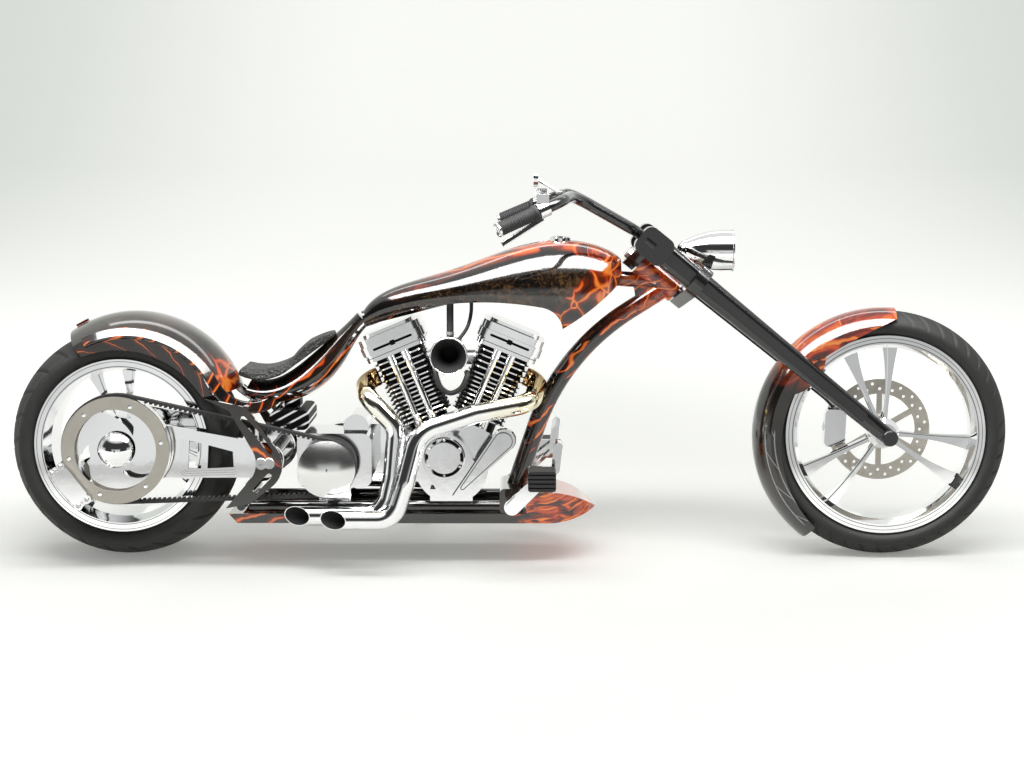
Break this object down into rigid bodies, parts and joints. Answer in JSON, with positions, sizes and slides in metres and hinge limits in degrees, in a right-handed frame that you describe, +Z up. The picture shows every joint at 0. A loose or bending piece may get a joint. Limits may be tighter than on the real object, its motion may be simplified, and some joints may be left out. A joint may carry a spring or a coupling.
{
  "type": "chopper motorcycle",
  "caption": "Long raked chopper motorcycle with a stretched tank, low seat, fat rear wheel and tall slim front wheel, parked on its side stand.",
  "frame": {"origin": "on the floor under the middle of the whole machine as it leans on its side stand", "axes": "+X to the front of the motorcycle, +Y to its left, +Z up; the motorcycle leans 7 degrees to +Y"},
  "size_m": [2.836, 0.7932, 1.0699],
  "materials": {
    "black_paint": "gloss",
    "chrome": "polished",
    "cast_metal": "satin",
    "brake_steel": "matte",
    "tyre_rubber": "matte",
    "black_rubber": "matte",
    "black_leather": "satin",
    "black_plastic": "gloss",
    "clear_glass": "clear",
    "red_lens": "clear"
  },
  "bodies": {
    "frame": {"frame_top": "black_paint", "frame_cradle": "black_paint", "seat_spine": "black_paint", "side_plates": "black_paint", "cross_tubes": "black_paint", "rear_fender": "black_paint", "fender_struts": "black_paint", "tail_lamp": "red_lens", "fuel_tank": "black_paint", "fuel_cap": "chrome", "seat": "black_leather", "oil_tank": "black_paint", "belly_pan": "black_paint", "crankcase": "cast_metal", "cylinders": "cast_metal", "rocker_boxes": "chrome", "pushrod_tubes": "chrome", "engine_covers": "chrome", "carburettor": "cast_metal", "intake_horn": "black_plastic", "exhaust_front": "chrome", "exhaust_rear": "chrome", "gearbox": "cast_metal", "primary_cover": "chrome", "gearbox_pulley": "cast_metal", "pulley_cover": "chrome", "drive_belt": "black_rubber", "swing_arms": "chrome", "rear_caliper": "chrome", "foot_controls": "chrome"},
    "rear_wheel": {"rear_tyre": "tyre_rubber", "rear_rim": "chrome", "rear_axle": "chrome", "rear_pulley": "chrome", "rear_brake_disc": "brake_steel"},
    "fork": {"fork_legs": "black_paint", "lower_yoke": "black_paint", "upper_yoke": "black_paint", "handlebar": "chrome", "bar_posts": "chrome", "grips": "black_rubber", "hand_controls": "chrome", "mirror": "chrome", "headlamp_shell": "chrome", "headlamp_lens": "clear_glass", "front_fender": "black_paint", "fender_stays": "chrome", "front_axle": "chrome", "front_caliper": "chrome", "brake_hose": "black_rubber"},
    "front_wheel": {"front_tyre": "tyre_rubber", "front_rim": "chrome", "front_brake_disc": "brake_steel"},
    "side_stand": {"side_stand": "chrome"}
  },
  "joints": [
    {"name": "rear_wheel_spin", "type": "hinge", "parent": "frame", "child": "rear_wheel", "pos_m": [-1.092, -0.04803, 0.32491], "axis": [0, 0.9925, -0.1219], "continuous": true},
    {"name": "steering", "type": "hinge", "parent": "frame", "child": "fork", "pos_m": [1.03024, -0.05079, 0.30245], "axis": [-0.7771, 0.0767, 0.6246], "range_deg": [-28, 28]},
    {"name": "front_wheel_spin", "type": "hinge", "parent": "fork", "child": "front_wheel", "pos_m": [1.068, -0.04511, 0.34873], "axis": [0, 0.9925, -0.1219], "continuous": true},
    {"name": "side_stand_fold", "type": "hinge", "parent": "frame", "child": "side_stand", "pos_m": [-0.312, 0.09528, 0.12999], "axis": [0.12, 0.6991, 0.7049], "range_deg": [0, 104]}
  ]
}
